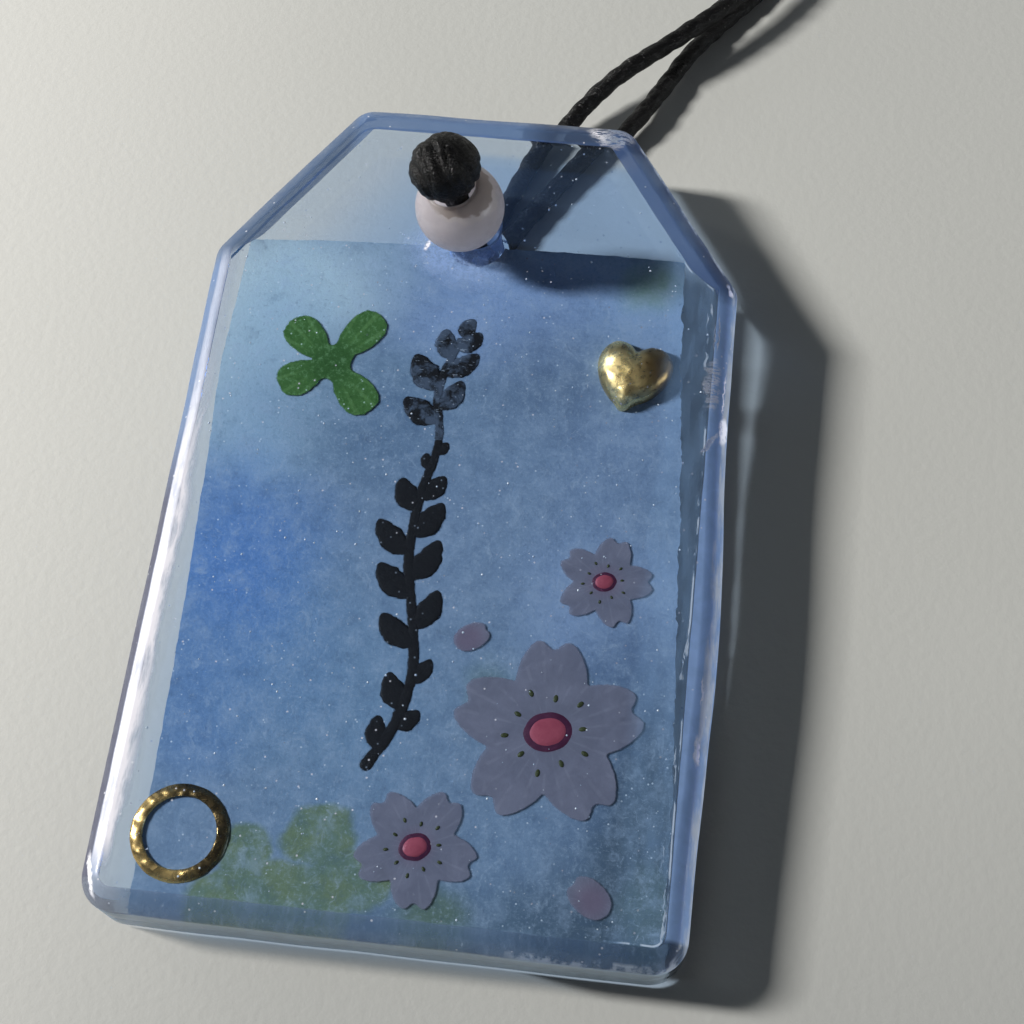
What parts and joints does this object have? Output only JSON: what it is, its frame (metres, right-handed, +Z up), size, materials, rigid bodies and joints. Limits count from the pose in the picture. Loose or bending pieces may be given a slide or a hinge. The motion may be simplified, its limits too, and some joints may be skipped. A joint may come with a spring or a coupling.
{
  "type": "resin charm tag",
  "caption": "Clear blue resin charm tag with a paper insert and small charms, hung by a bead and knot on a thin waxed cord loop.",
  "frame": {"origin": "centre of the tag's bounding box in X and Y, on the table that its lower back edge touches", "axes": "+Y along the tag to its hole end, +X to the right seen from the front, +Z up out of the front face"},
  "size_m": [0.0498, 0.1075, 0.0167],
  "materials": {
    "resin": "clear pale blue cast resin, glossy",
    "paper": "blue watercolour washi under resin",
    "leaf_paper": "green cut paper under resin",
    "lilac_paper": "translucent lilac cut paper under resin",
    "gold": "bright gold-coloured metal",
    "cord": "black waxed twisted cord",
    "pearl": "pearly pinkish white"
  },
  "bodies": {
    "tag": {"resin_back_layer": "resin", "resin_front_layer": "resin", "paper_insert": "paper", "clover_cutout": "leaf_paper", "blossom_large": "lilac_paper", "blossom_medium": "lilac_paper", "blossom_small": "lilac_paper", "petal_upper": "lilac_paper", "petal_lower": "lilac_paper", "heart_charm": "gold", "ring_charm": "gold", "cord_loop": "cord"},
    "cord_end": {"cord_strand_a": "cord", "cord_strand_b": "cord", "end_knot": "cord"},
    "bead": {"bead": "pearl"}
  },
  "joints": [
    {"name": "cord_pull", "type": "slide", "parent": "tag", "child": "cord_end", "axis": [-0.1564, -0.0353, 0.9871], "range_m": [0, 0.003]},
    {"name": "bead_spin", "type": "hinge", "parent": "cord_end", "child": "bead", "pos_m": [-0.00113, 0.01893, 0.00969], "axis": [-0.1564, -0.0353, 0.9871], "continuous": true}
  ]
}
